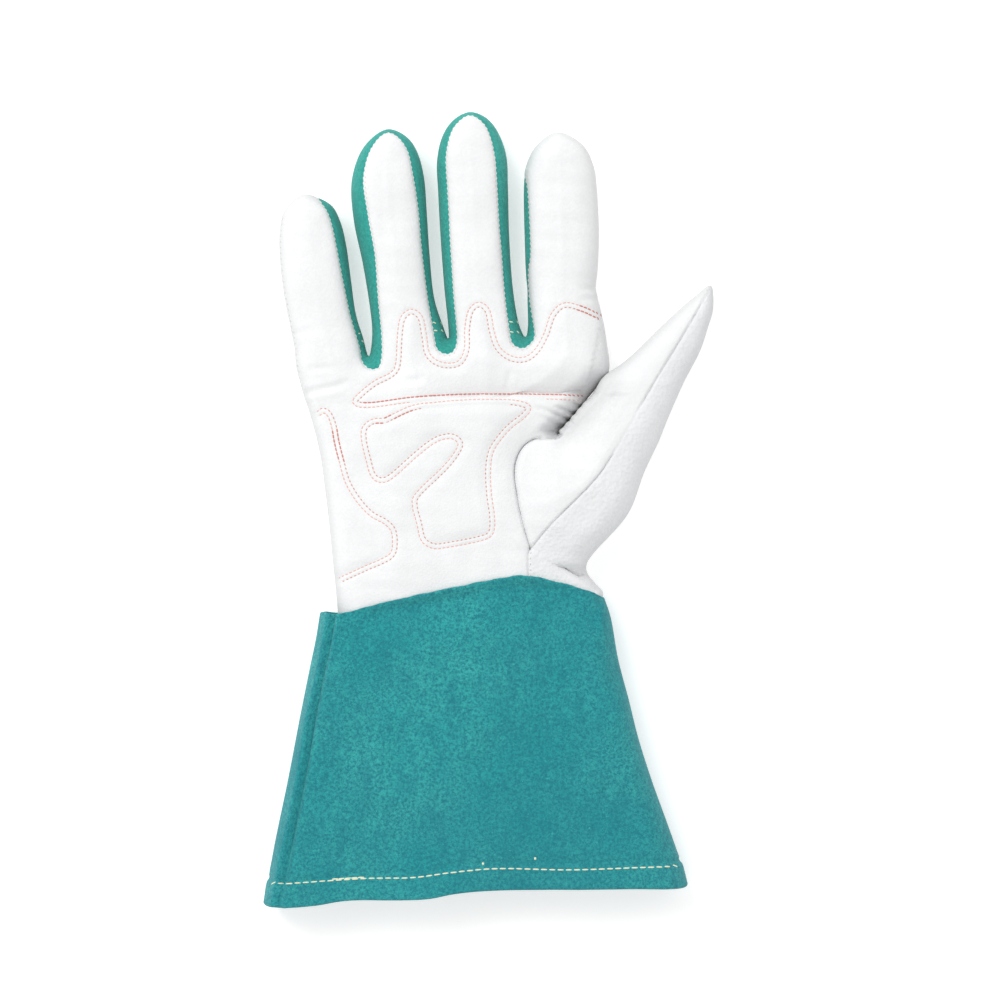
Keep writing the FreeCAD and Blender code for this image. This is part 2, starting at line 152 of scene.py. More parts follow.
class Digit:
    """A finger or the thumb: where its two hinges are, the way it points and the way across it."""

    def __init__(self, name):
        joints = {joint["name"]: joint for joint in frame["joints"]}
        root, bend = joints[name + "_knuckle_bend"], joints[name + "_middle_bend"]
        self.name = name
        self.root = np.array(root["pos_m"][:2]) / MM
        self.across = np.array(root["axis"][:2])
        self.forward = np.array([-self.across[1], self.across[0]])
        self.bend = float((np.array(bend["pos_m"][:2]) / MM - self.root) @ self.forward)
        self.reach = 11.0 if name == "thumb" else 8.0
        self.split = (self.reach + self.bend - 10) / 2

    def place(self, forward, aside):
        return self.root + self.forward * forward + self.across * aside

    def local(self, spots):
        offset = spots[:, :2] - self.root
        return offset @ self.forward, offset @ self.across


FINGERS = ("little", "ring", "middle", "index")
DIGITS = {name: Digit(name) for name in FINGERS + ("thumb",)}

# Edges of each digit laid flat: (forward of the root hinge, left edge, right edge), then the tip.
EDGES = {
    "little": (((-4, -14.4, 13.8), (6, -14.9, 12.4), (20, -15.3, 12.6), (34, -14.6, 12.8), (44, -12.9, 11.8),
                (51.4, -9.6, 8.6)), (56.5, -1.0)),
    "ring": (((-3, -14.9, 14.0), (9, -14.7, 11.7), (26, -15.6, 11.8), (42, -17.2, 12.5), (57, -16.8, 13.0),
              (68, -13.0, 11.4), (75, -7.2, 7.4)), (78.5, 0.4)),
    "middle": (((-3, -14.5, 13.9), (12, -15.0, 12.7), (32, -15.1, 12.8), (50, -14.8, 13.6), (63, -14.4, 13.9),
                (73, -11.6, 11.3), (79.4, -6.6, 6.8)), (82.2, 0.2)),
    "index": (((-4, -15.4, 15.4), (5, -15.3, 13.6), (11, -15.2, 12.7), (17, -15.5, 13.6), (32, -15.5, 14.7),
               (50, -15.2, 14.5), (60, -14.0, 13.4), (68.6, -9.6, 9.2)), (73.9, -0.6)),
    "thumb": (((2.8, -14.2, 17.0), (14, -14.5, 14.4), (29, -11.3, 11.5), (42, -9.0, 9.8), (52, -6.8, 6.9),
               (60, -4.7, 4.0)), (66.9, -2.0)),
}

# Edges of the white leather between the green side strips, laid flat; none on sides with no strip.
SEAMS = {
    "little": (((-8, None, 12.6), (6, None, 10.8), (26, None, 9.8), (44, None, 8.9), (52, None, 6.0)), (58.0, 1.8)),
    "ring": (((-8, -11.6, 10.6), (8, -11.2, 9.8), (28, -10.4, 9.5), (44, -11.4, 9.9), (58, -11.6, 9.2),
              (68, -8.8, 8.2), (74.6, -4.2, 4.6)), (77.0, 0.4)),
    "middle": (((-8, -11.6, 10.4), (8, -11.9, 9.8), (30, -11.7, 9.5), (50, -11.3, 9.6), (64, -11.0, 9.4),
                (74, -8.2, 7.4), (79.0, -4.0, 3.8)), (80.8, 0.0)),
    "index": (((-8, -13.4, None), (0, -14.2, None), (8, -14.8, None), (18, -14.8, None), (26, -13.9, None),
               (44, -14.0, None), (54, -14.4, None), (58, -15.8, None)), None),
}

# Outline of the hand between the digits.
LEFT_SIDE = [(-60.0, -56), (-61.0, -47), (-62.0, -36), (-63.8, -17), (-65.0, -5), (-66.6, 8), (-68.2, 20),
             (-70.6, 31), (-72.7, 38), (-74.7, 44), (-76.8, 51), (-78.5, 58)]
CROTCHES = [(-48.9, 61.6), (-16.7, 68.6), (14.3, 69.4)]
INDEX_SIDE = [(47.6, 66), (48.4, 60.5), (48.4, 56.8), (47.6, 53.8), (44.6, 50.2), (39.8, 44.5), (34.8, 38.4),
              (30.8, 33.4)]
WEB = [(27.8, 29.8)]
WEB_THUMB = [(31.2, 31.9), (36.0, 37.2), (40.4, 42.4)]
RIGHT_SIDE = [(62.6, 14.5), (58.2, 2), (54.3, -4.8), (48.9, -10.9), (43.2, -16.9), (39.8, -21.4), (39.3, -24.6),
              (40.6, -27.6), (43.4, -31.0), (45.9, -34.0), (45.0, -39), (43.0, -47), (42.0, -56)]


def digit_sides(name, table, left=None, right=None):
    """Points up the left side of a digit, round its tip and down its right side."""
    digit = DIGITS[name]
    stations, tip = table[name]
    up = [digit.place(forward, aside) for forward, aside, _ in stations if aside is not None]
    down = [digit.place(forward, aside) for forward, _, aside in reversed(stations) if aside is not None]
    return up + ([digit.place(*tip)] if tip else []) + down


def hand_outline():
    points = list(LEFT_SIDE)
    for number, name in enumerate(FINGERS):
        points += digit_sides(name, EDGES)
        points += CROTCHES[number:number + 1]
    points += INDEX_SIDE + WEB + WEB_THUMB + digit_sides("thumb", EDGES) + RIGHT_SIDE
    return smooth_curve(points)


OUTLINE = hand_outline()

# Bottom of each U of green strip between two fingers.
STRIP_FEET = [[(-51.0, 60.0), (-49.2, 57.2), (-46.6, 56.4), (-44.3, 58.0)],
              [(-21.3, 65.2), (-19.6, 62.9), (-16.6, 62.2), (-14.2, 64.1)],
              [(9.0, 67.2), (10.8, 65.2), (13.8, 64.7), (16.2, 66.7)]]

# The seam of the green strips on the palm face runs up and down the fingers as one line.
STRIP = smooth_curve(digit_sides("little", SEAMS) + STRIP_FEET[0] + digit_sides("ring", SEAMS) + STRIP_FEET[1]
                     + digit_sides("middle", SEAMS) + STRIP_FEET[2] + digit_sides("index", SEAMS), step=0.7)


def scalloped(line, high, pitch):
    """The line with small waves, where each stitch pulls the leather in a little."""
    return beside(line, high * np.sin(2 * math.pi * run_along(line) / pitch)[:, None])


STRIP_EDGE = scalloped(STRIP, 0.2, 2.1)
SET_IN = smooth_curve([(16.7, -16.3), (14.3, -9), (12.1, -1), (10.7, 8), (10.3, 15), (11.3, 20.3), (14.0, 25.2),
                       (18.4, 28.2), (23.0, 29.4), (27.7, 29.8)])
WRIST_SEAM = smooth_curve([(16.7, -16.3), (15.7, -18.2), (15.8, -28), (16.4, -40), (16.8, -58)])
THUMB_SEAM = smooth_curve([(16.7, -16.3), (23.5, -7.6), (30.8, -0.4), (37.8, 6.6), (44.6, 14.4), (50.0, 22.8),
                           (55.6, 32.4), (62.6, 44.6), (68.0, 53.6), (76.0, 66.6), (84.0, 80.2), (90.5, 92.5)])

# Middle lines of the double stitching that holds the pads inside the palm.
KNUCKLE_ROWS = [(38.2, 44.5), (27, 44.8), (15, 45.0), (1, 45.1), (-10, 45.0), (-20, 44.5), (-31.6, 43.6), (-48, 41.5),
                (-53.9, 42.6), (-51, 46.3), (-45.7, 50.5), (-39.2, 53.9), (-36.8, 58), (-36, 69.8), (-34.8, 76.4),
                (-31.4, 79.1), (-27.8, 76.6), (-26.3, 69.4), (-25, 62.2), (-21.4, 58.6), (-16.3, 57.4),
                (-11.6, 58.8), (-9.2, 64), (-9, 72.2), (-7.6, 79.2), (-4.2, 81.9), (-0.8, 79.2), (0.8, 71.5),
                (3.2, 64.6), (8, 60.5), (14, 59.8), (18.7, 63), (22.6, 69.6), (25.4, 77.4), (30, 81.6),
                (36.8, 80.3), (44.8, 77)]
PALM_ROWS = [(-42, 35.2), (-31.2, 40.2), (-22, 41.6), (-10, 42.6), (2, 42.8), (10.7, 42.4), (15.6, 40.6),
             (13.4, 37.2), (8.3, 33.2), (3.8, 28.2), (0.4, 22.5), (-0.6, 15), (-0.2, 5.8), (1, -3), (0.6, -9.4),
             (-3.4, -11.9), (-17.5, -14.7), (-22.6, -15), (-26.6, -12.3), (-28.2, -6), (-30, 1.2), (-28.6, 5.8),
             (-17.5, 16.7), (-12.4, 23.6), (-12, 26.8), (-15.4, 29), (-21.5, 27.6), (-28.8, 22.3), (-39.2, 13.1),
             (-43.6, 11.4), (-46.8, 13.6), (-48.6, 19.6), (-50.3, 27), (-50.2, 32), (-46.8, 34.9), (-42, 35.2)]
HEEL_ROWS = [(-69.2, 37.9), (-66.8, 39.4), (-64.2, 37.6), (-62.4, 32.4), (-61.4, 26.8), (-59.4, 19), (-57, 10.7),
             (-52.6, 3.4), (-47.3, -2.2), (-41.6, -5.4), (-38.5, -9), (-38, -15), (-39.2, -18.7), (-43.2, -21.2),
             (-49.7, -24), (-60.2, -28.8)]
ROW_GAP = 0.95
ROW_SETS = {"knuckle": smooth_curve(KNUCKLE_ROWS), "palm": smooth_curve(PALM_ROWS), "heel": smooth_curve(HEEL_ROWS)}
PAD_AREAS = {"knuckle": ROW_SETS["knuckle"], "palm": ROW_SETS["palm"],
             "heel": np.vstack([ROW_SETS["heel"], [(-90, -28), (-90, 38)]])}

# Folds in the leather: points, depth and width.
FOLDS = [
    ([(-73, 46.6), (-66, 48.2), (-60, 49.6), (-54, 53.2)], 0.7, 1.5),
    ([(-72, 55.8), (-66, 56.4), (-60, 56.0)], 0.35, 1.3),
    ([(32.6, 35.6), (26.5, 37.8), (21.5, 39.8), (16.5, 41.4)], 1.2, 1.0),
    ([(34.8, 38.2), (28.5, 40.2), (22, 42.4)], 0.9, 0.9),
    ([(37.2, 41.2), (32.0, 42.4), (27, 43.4)], 0.8, 0.8),
    ([(30.4, 32.8), (24, 35.8), (17.5, 37.4)], 0.6, 1.2),
    ([(45.6, 88.6), (40, 88.0), (34, 89.4)], 0.5, 1.4),
    ([(45.2, 84.4), (40, 84.6), (35, 83.4)], 0.4, 1.3),
    ([(-79, 70), (-74, 71.4), (-68, 71.0)], 0.3, 1.5),
    ([(-28, 52.0), (-33, 51.0), (-37, 51.6)], 0.5, 1.5),
    ([(8, 54.0), (7.6, 50.0), (8.4, 47.0)], 0.45, 1.3),
    ([(-47.8, 58.4), (-46.2, 58.6), (-44.6, 59.4)], 0.5, 0.6),
    ([(-17.8, 65.4), (-15.8, 65.0), (-13.6, 66.0)], 0.5, 0.6),
    ([(11.6, 67.6), (13.6, 67.2), (15.8, 68.0)], 0.5, 0.6),
]
WRIST_FOLD = smooth_curve([(21.5, -21.3), (27.0, -23.2), (32.0, -24.8), (38.8, -26.4)])

# Outline of the cuff.
CUFF_LEFT = [(-68.6, -42.5), (-70.3, -53), (-73.0, -66), (-76.6, -84), (-81.6, -110), (-87.0, -136), (-91.0, -158.8)]
CUFF_RIGHT = [(46.4, -36.2), (49.2, -45), (52.0, -61), (56.2, -77), (60.2, -93), (65.6, -110), (71.4, -126),
              (77.0, -142), (79.6, -151.4)]
CUFF_TOP = [(-68.6, -42.5), (-59, -42.6), (-44, -39.0), (-27.2, -35.2), (-10, -31.6), (5.4, -28.6), (15.5, -27.7),
            (30.8, -31.2), (40, -33.6), (46.4, -36.2)]
CUFF_MOUTH = [(-91.0, -158.8), (-82, -159.0), (-69.7, -158.2), (-55.9, -156.1), (-27.7, -155.5), (-13.9, -153.4),
              (3, -152.2), (40, -151.6), (79.6, -151.4)]

KNUCKLE_CREASE = smooth_curve([(-30, 44.9), (-20, 45.8), (-10, 46.3), (1.2, 46.4), (15, 46.3), (27, 46.1),
                               (38.4, 45.9)])
# The gap between the palm and the thumb, carried on far round the outside of the thumb.
WEB_GAP = [(27.8, 29.8), (31.0, 32.6), (35.4, 37.8), (40.1, 43.5), (44.8, 49.6), (48.3, 54.2), (80, 100),
           (150, 120), (150, -200), (16.8, -200)]

FAR = 250  # well outside the glove
WHITE_AREA = np.vstack([STRIP_EDGE, [(STRIP[-1][0], FAR), (FAR, FAR), (FAR, -FAR), (-FAR, -FAR), (-FAR, FAR),
                                     (STRIP[0][0], FAR)]])
WING_AREA = np.vstack([WRIST_SEAM[::-1], SET_IN[1:], WEB_GAP[1:]])
WING_RIGHT = np.vstack([WRIST_SEAM[::-1], THUMB_SEAM[1:], [(150, 100), (150, -200), (16.8, -200)]])


# ---- flat pattern of the hand: one triangle mesh whose edges follow every seam ----

PITCH = 1.0
EDGE_ROWS = (0.12, 0.45, 1.0, 1.8, 2.8)
SEAM_ROWS = (0.5, 1.15)
ROW_OFFSETS = (0, 0.6, -0.6)
THUMB_WIDE, FINGER_WIDE = 23, 18


class Spots:
    """Points that keep their distance from each other."""

    def __init__(self):
        self.points = []
        self.cells = {}

    def add(self, point, gap):
        column, row = math.floor(point[0]), math.floor(point[1])
        for near_column in (column - 1, column, column + 1):
            for near_row in (row - 1, row, row + 1):
                for other in self.cells.get((near_column, near_row), ()):
                    if math.hypot(other[0] - point[0], other[1] - point[1]) < gap:
                        return
        self.cells.setdefault((column, row), []).append(point)
        self.points.append(point)


def zone_lines():
    """Lines across each digit where its pieces part."""
    lines = []
    for digit in DIGITS.values():
        low, high = (-19.5, 21.5) if digit.name == "thumb" else (-FINGER_WIDE, FINGER_WIDE)
        for forward in (-digit.reach, digit.split):
            lines.append(even_points(np.array([digit.place(forward, low), digit.place(forward, high)]), PITCH))
    return lines


def flat_pattern():
    spots = Spots()
    seams = [STRIP_EDGE, SET_IN, WRIST_SEAM, THUMB_SEAM, KNUCKLE_CREASE, WRIST_FOLD]
    rows = [beside(line, side * ROW_GAP) for line in ROW_SETS.values() for side in (-1, 1)]
    chains = [OUTLINE] + seams + zone_lines()
    edges = []
    for chain in chains:
        start = len(spots.points)
        for point in chain:
            spots.points.append(point)
            spots.cells.setdefault((math.floor(point[0]), math.floor(point[1])), []).append(point)
        edges += [(number, number + 1) for number in range(start, start + len(chain) - 1)]
        if chain is OUTLINE:
            edges.append((start + len(chain) - 1, start))
    for row in EDGE_ROWS:
        line = beside(OUTLINE, -row)
        kept = line[np.abs(gap_to(OUTLINE, line) - row) < 0.05 * row]
        for point in kept:
            spots.add(point, min(0.4, row * 0.7))
    for line in seams:
        for row in SEAM_ROWS:
            for point in np.vstack([beside(line, row), beside(line, -row)]):
                spots.add(point, 0.42)
    for line in rows:
        for offset in ROW_OFFSETS:
            for point in even_points(beside(line, offset), 0.7):
                spots.add(point, 0.4)
    low, high = OUTLINE.min(axis=0), OUTLINE.max(axis=0)
    height = PITCH * math.sqrt(3) / 2
    for number, up in enumerate(np.arange(low[1], high[1], height)):
        for across in np.arange(low[0] + (number % 2) * PITCH / 2, high[0], PITCH):
            spots.add(np.array([across, up]), 0.72 * PITCH)
    coordinates = [Vector(point) for point in spots.points]
    made, _, faces, *_ = delaunay_2d_cdt(coordinates, edges, [list(range(len(OUTLINE)))], 1, 1e-4)
    made = np.array([tuple(point) for point in made])
    faces = np.array([face for face in faces if len(face) == 3])
    middles = made[faces].mean(axis=1)
    faces = faces[inside(middles, OUTLINE)]
    used, faces = np.unique(faces, return_inverse=True)
    return made[used], faces.reshape(-1, 3)


FLAT, TRIANGLES = flat_pattern()
DEPTH = gap_to(OUTLINE, FLAT)
RIM = DEPTH < 1e-3
DEPTH[RIM] = 0


# ---- the hand filled out: palm face and back face of the flat pattern ----

EQUATOR = 11.0
FRONT_HIGH, BACK_HIGH = 13.0, 11.0
EDGE_ROUND = 12.0
THUMB_STEEP, PALM_STEEP = 3.2, 4.5
ROUNDNESS = 2.2


def rounding(depth, reach):
    """0 at the outline, 1 once deeper than the reach, with a round edge between."""
    share = 1 - np.clip(depth / reach, 0, 1)
    return (1 - share ** ROUNDNESS) ** (1 / ROUNDNESS)


def cuff_edge(across):
    """How far up the top edge of the cuff is."""
    points = np.array(CUFF_TOP)
    return np.interp(across, points[:, 0], points[:, 1])


def fill_out():
    """Heights of the palm face and of the back face over the flat pattern."""
    forward, _ = DIGITS["thumb"].local(FLAT)
    wing = inside(FLAT, WING_AREA)
    up = FLAT[:, 1]
    slim = np.interp(forward, (0, 15, 29, 42, 52, 60, 65), (12, 12, 11, 9, 6.6, 4.4, 3.0))
    thumb_edge = np.array(WEB + WEB_THUMB + [(43.0, 45.6), (48.6, 53.6)])
    thumb_side = fade(gap_to(thumb_edge, FLAT), 5) * (1 - ramp(forward, 8, 22))
    palm_side = fade(gap_to(np.array(INDEX_SIDE[3:] + WEB), FLAT), 13) * (1 - ramp(up, 46, 60))
    palm_side *= ramp(gap_to(SET_IN, FLAT), 0.5, 8)
    reach = np.where(wing, slim * (1 - thumb_side) + THUMB_STEEP * thumb_side,
                     EDGE_ROUND * (1 - palm_side) + PALM_STEEP * palm_side)
    share = rounding(DEPTH, reach)
    high = np.where(wing, (slim / EDGE_ROUND) ** 0.6, 1.0)
    up_thumb = np.where(wing, ramp(forward, -8, 12), 0)
    front = EQUATOR + FRONT_HIGH * high * share + 2.8 * ramp(DEPTH, 9, 30) * (1 - up_thumb)
    back = EQUATOR - BACK_HIGH * high * share
    edge = np.minimum(gap_to(SET_IN, FLAT), gap_to(WRIST_SEAM, FLAT))
    thenar = ramp(edge, 0, 18) * (1 - ramp(forward, 0, 34)) * ramp(up, -30, -8)
    front += np.where(wing, 4.2 * thenar * share, 0)
    tuck = 1 - ramp(up - cuff_edge(FLAT[:, 0]), -4, 1)
    front -= 2.0 * tuck
    back += 2.2 * tuck * share
    front[RIM] = back[RIM] = EQUATOR
    return front, back


FRONT, BACK = fill_out()

# Vertices of the closed skin: the palm face first, then the back face without the rim that both share.
back_number = np.where(RIM, np.arange(len(FLAT)), 0)
back_number[~RIM] = len(FLAT) + np.arange((~RIM).sum())
SKIN = np.vstack([np.column_stack([FLAT, FRONT]), np.column_stack([FLAT, BACK])[~RIM]])
SKIN_FACES = np.vstack([TRIANGLES, back_number[TRIANGLES][:, ::-1]])
IS_FRONT_FACE = np.arange(len(SKIN_FACES)) < len(TRIANGLES)


def normals_of(spots, faces):
    corner = spots[faces]
    flat_normals = np.cross(corner[:, 1] - corner[:, 0], corner[:, 2] - corner[:, 0])
    total = np.zeros_like(spots)
    for number in range(3):
        np.add.at(total, faces[:, number], flat_normals)
    return total / np.maximum(np.linalg.norm(total, axis=1), 1e-12)[:, None]


def slit(distance):
    """1 right on a line and 0 half a millimetre off it, where the leather turns straight down into a seam."""
    return np.clip(1 - distance / 0.5, 0, 1)


def relief():
    """How far the leather stands proud of its plain rounded form (+) or sinks into its seams and creases (-)."""
    spots = SKIN[:, :2]
    front = np.arange(len(SKIN)) < len(FLAT)
    palm = np.zeros(len(SKIN))
    both = np.zeros(len(SKIN))
    strip = gap_to(STRIP, spots)
    puff = (1 - fade(strip, 1.2)) * fade(strip, 5)
    both += np.where(inside(spots, WHITE_AREA), 0.4, -0.3) * puff - 0.65 * fade(strip, 0.75)
    set_in, along, _ = line_distance(spots, SET_IN)
    share = ramp(along, 2, 14)
    plunge = 0.5 * np.exp(-set_in / 0.8) + 1.6 * np.exp(-set_in / 3.0)
    narrow = 2.1 * fade(set_in, 1.1)
    palm -= np.where(inside(spots, WING_AREA), narrow, share * plunge + (1 - share) * narrow) * (0.35 + 0.65 * share)
    palm -= 1.5 * slit(set_in)
    wrist = gap_to(WRIST_SEAM, spots)
    palm -= 0.4 * fade(wrist, 0.7) + 0.5 * slit(wrist)
    seam, along, _ = line_distance(spots, THUMB_SEAM)
    drawn = 0.25 + 0.75 * np.abs(ramp(along, 46, 54) - ramp(along, 67, 77) - 1)
    both -= drawn * (0.35 * fade(seam, 0.75) + 0.75 * slit(seam))
    crease, along, side = line_distance(spots, KNUCKLE_CREASE)
    hold = ramp(along, 0, 22)
    palm -= hold * np.where(side > 0, 3.1 * np.exp(-crease / 4.2), 3.1 * fade(crease, 2.0))
    palm += hold * np.where(side > 0, 0.9 * fade(crease - 11, 6), 0)
    fold, along, _ = line_distance(spots, WRIST_FOLD)
    palm -= (0.3 + 2.6 * ramp(along, 1, 17)) * fade(fold, 1.9) + 1.8 * ramp(along, 3, 12) * slit(fold)
    for name, line in ROW_SETS.items():
        far = gap_to(line, spots)
        palm -= 0.38 * fade(far - ROW_GAP, 0.55)
        palm += np.where(inside(spots, PAD_AREAS[name]), 0.55 * ramp(far, 1.3, 5), 0)
    for points, depth, width in FOLDS:
        line = smooth_curve(points)
        far, along, _ = line_distance(spots, line)
        length = np.linalg.norm(np.diff(line, axis=0), axis=1).sum()
        hollow = fade(far, width) - 0.45 * fade(far - 1.6 * width, width)
        palm -= depth * hollow * ramp(length - along, 0, length / 2)
    depth = np.concatenate([DEPTH, DEPTH[~RIM]])
    uneven = ramp(depth, 1, 8) * (0.34 * ripple(SKIN, 27, 3) + 0.13 * ripple(SKIN, 10, 4))
    near_rim = 0.25 + 0.75 * ramp(depth, 0, 1.5)
    return near_rim * (both + np.where(front, palm + uneven, 0.5 * uneven))


WEB_POINT = np.array(WEB[0])


def tucked_web(spots):
    """Near the web the edge of the palm dips and runs under the left edge of the thumb."""
    thumb = DIGITS["thumb"]
    forward, _ = thumb.local(spots)
    deep = gap_to(OUTLINE, spots[:, :2])
    away = np.linalg.norm(spots[:, :2] - WEB_POINT, axis=1)
    near = ramp(gap_to(SET_IN, spots[:, :2]), 0, 2.2) * (1 - ramp(away, 26, 40))
    wing = inside(spots[:, :2], WING_AREA)
    front = np.arange(len(spots)) < len(FLAT)
    left = np.cross(thumb.forward, spots[:, :2] - WEB_POINT) > -12
    lift = np.where(wing & left, near * fade(deep, 5), 0)
    dip = np.where(~wing & (spots[:, 0] > 8), near, 0)
    moved = spots.copy()
    moved[:, :2] -= thumb.across * (2.0 * lift)[:, None]
    sunk = 2.0 * fade(deep, 3)
    moved[:, 2] += 3.0 * lift - dip * np.where(front, sunk + 4.6 * fade(deep - 2.2, 4.0), sunk)
    return moved


SKIN = tucked_web(SKIN)
NORMALS = normals_of(SKIN, SKIN_FACES)
SKIN = SKIN + NORMALS * relief()[:, None]
SKIN[:, 2] = np.maximum(SKIN[:, 2], 0)
NORMALS = normals_of(SKIN, SKIN_FACES)


# ---- leather, suede and thread ----

def fill_in(node, **values):
    """Sets a node's inputs; in a name, _ stands for a space."""
    for name, value in values.items():
        node.inputs[name.replace("_", " ")].default_value = value


class Paint:
    """A material whose pattern stays with the leather: it is laid out on the rest position of each point."""

    def __init__(self, name, roughness, sheen=0.0):
        self.material = bpy.data.materials.new(name)
        self.material.use_nodes = True
        self.tree = self.material.node_tree
        self.shader = self.tree.nodes["Principled BSDF"]
        fill_in(self.shader, Roughness=roughness, Sheen_Weight=sheen, Sheen_Roughness=0.6, Specular_IOR_Level=0.25)
        self.place = self.node("Attribute")
        self.place.attribute_name = "rest"

    def node(self, kind, **values):
        made = self.tree.nodes.new("ShaderNode" + kind)
        fill_in(made, **values)
        return made

    def put(self, source, target):
        if isinstance(source, bpy.types.NodeSocket):
            self.tree.links.new(source, target)
        else:
            target.default_value = source

    def stretched(self, scale):
        made = self.node("Mapping", Scale=scale)
        self.put(self.place.outputs["Vector"], made.inputs["Vector"])
        return made.outputs["Vector"]

    def noise(self, size, detail=3.0, stretch=None, rough=0.55):
        """Soft mottling with features about size millimetres across."""
        made = self.node("TexNoise", Scale=1 / (size * MM), Detail=detail, Roughness=rough)
        self.put(self.stretched(stretch) if stretch else self.place.outputs["Vector"], made.inputs["Vector"])
        return made.outputs["Fac"]

    def cells(self, size):
        """Pebbles about size millimetres across: 0 at their middles."""
        made = self.node("TexVoronoi", Scale=1 / (size * MM))
        self.put(self.place.outputs["Vector"], made.inputs["Vector"])
        return made.outputs["Distance"]

    def up_the_glove(self, start, end):
        """0 at one place along the glove, in metres, and 1 at another."""
        made = self.node("SeparateXYZ")
        self.put(self.place.outputs["Vector"], made.inputs["Vector"])
        return self.spread(made.outputs["Y"], start, end)

    def attribute(self, name):
        made = self.node("Attribute")
        made.attribute_name = name
        return made.outputs["Fac"]

    def spread(self, value, low, high):
        made = self.node("MapRange", From_Min=low, From_Max=high)
        self.put(value, made.inputs["Value"])
        return made.outputs["Result"]

    def sum(self, first, second, share=1.0):
        made = self.node("Math")
        made.operation = "MULTIPLY_ADD"
        for source, target in zip((second, share, first), made.inputs):
            self.put(source, target)
        return made.outputs["Value"]

    def mix(self, share, first, second):
        made = self.node("Mix")
        made.data_type = "RGBA"
        for source, target in ((share, "Factor"), (first, 6), (second, 7)):
            self.put(source, made.inputs[target])
        return made.outputs[2]

    def colour(self, source):
        self.put(source, self.shader.inputs["Base Color"])

    def bump(self, height, deep, strength=1.0):
        """Relief about deep millimetres deep."""
        made = self.node("Bump", Strength=strength, Distance=deep * MM)
        self.put(height, made.inputs["Height"])
        self.put(made.outputs["Normal"], self.shader.inputs["Normal"])


def white_leather(name, grain, grain_deep, light, shade):
    paint = Paint(name, 0.62, sheen=0.08)
    clouds = paint.spread(paint.noise(16, 4), 0.35, 0.7)
    fine = paint.spread(paint.noise(1.6, 5, rough=0.7), 0.3, 0.75)
    plain = paint.mix(fine, paint.mix(clouds, light, shade), tuple(0.97 * part for part in shade[:3]) + (1,))
    # Painted shade: the colour turns greyer near the outline, where the rounded rim turns from the light.
    rim_shade = tuple(0.84 * part for part in shade[:3]) + (1,)
    paint.colour(paint.mix(paint.attribute("edge"), plain, rim_shade))
    pores = paint.sum(paint.cells(grain), paint.noise(0.7, 4), 0.5)
    paint.bump(paint.sum(pores, paint.noise(4.5, 4), 1.2), grain_deep)
    return paint.material


def suede(name, base, dark, light, deep=0.22):
    paint = Paint(name, 0.95, sheen=0.1)
    clouds = paint.spread(paint.noise(34, 5, rough=0.62), 0.36, 0.66)
    streaks = paint.spread(paint.noise(5, 4, stretch=(1, 0.35, 1), rough=0.6), 0.50, 0.76)
    spots = paint.spread(paint.noise(3.2, 3, stretch=(1, 0.6, 1)), 0.60, 0.72)
    nap = paint.spread(paint.noise(1.2, 6, rough=0.9), 0.43, 0.57)
    colour = paint.mix(clouds, light, base)
    flecks = paint.spread(paint.noise(1.7, 4, rough=0.85), 0.58, 0.70)
    patches = paint.spread(paint.noise(48, 3, rough=0.5), 0.42, 0.62)
    colour = paint.mix(paint.sum(0.0, paint.up_the_glove(-0.05, -0.13), 0.2), colour, dark)
    colour = paint.mix(paint.sum(0.0, patches, 0.25), colour, dark)
    colour = paint.mix(paint.sum(0.0, streaks, 0.6), colour, dark)
    colour = paint.mix(paint.sum(0.0, spots, 0.55), colour, dark)
    colour = paint.mix(paint.sum(0.0, nap, 1.0), colour, dark)
    paint.colour(paint.mix(paint.sum(0.0, flecks, 0.8), colour, light))
    paint.bump(paint.sum(paint.noise(0.8, 6, rough=0.75), paint.noise(5, 4), 0.8), deep)
    return paint.material


def thread(name, light, dark):
    paint = Paint(name, 0.7, sheen=0.3)
    twist = paint.spread(paint.noise(0.35, 2), 0.35, 0.65)
    fresh = paint.mix(paint.sum(0.0, twist, 0.35), light, dark)
    paint.colour(paint.mix(paint.attribute("heavy"), fresh, dark))
    paint.bump(paint.noise(0.25, 2), 0.08)
    return paint.material


WHITE = white_leather("white_leather", 0.9, 0.09, (0.845, 0.85, 0.855, 1), (0.80, 0.805, 0.81, 1))
PEBBLED = white_leather("white_leather_pebbled", 1.5, 0.26, (0.83, 0.835, 0.84, 1), (0.77, 0.78, 0.79, 1))
INNER = white_leather("patch_leather", 1.2, 0.12, (0.72, 0.72, 0.69, 1), (0.64, 0.64, 0.61, 1))
GREEN = suede("green_suede", (0.020, 0.345, 0.345, 1), (0.008, 0.175, 0.218, 1), (0.050, 0.44, 0.415, 1))
STRIP_GREEN = suede("green_strip", (0.04, 0.385, 0.325, 1), (0.02, 0.27, 0.235, 1), (0.06, 0.43, 0.37, 1), 0.12)
PINK = thread("pink_thread", (0.84, 0.50, 0.42, 1), (0.62, 0.22, 0.18, 1))
# Painted shade: dark dots where the thread goes into the leather stand for the shade inside each needle hole.
HOLE_SHADE = thread("needle_hole", (0.28, 0.22, 0.21, 1), (0.16, 0.12, 0.12, 1))
CREAM = thread("cream_thread", (0.86, 0.86, 0.64, 1), (0.62, 0.60, 0.38, 1))
GREY = thread("seam_thread", (0.62, 0.62, 0.61, 1), (0.36, 0.36, 0.36, 1))


# ---- pieces of the hand ----

LEATHER = 1.2
PAD = 1.3


def placed(name, data):
    made = bpy.data.objects.new(name, data)
    bpy.context.scene.collection.objects.link(made)
    return made


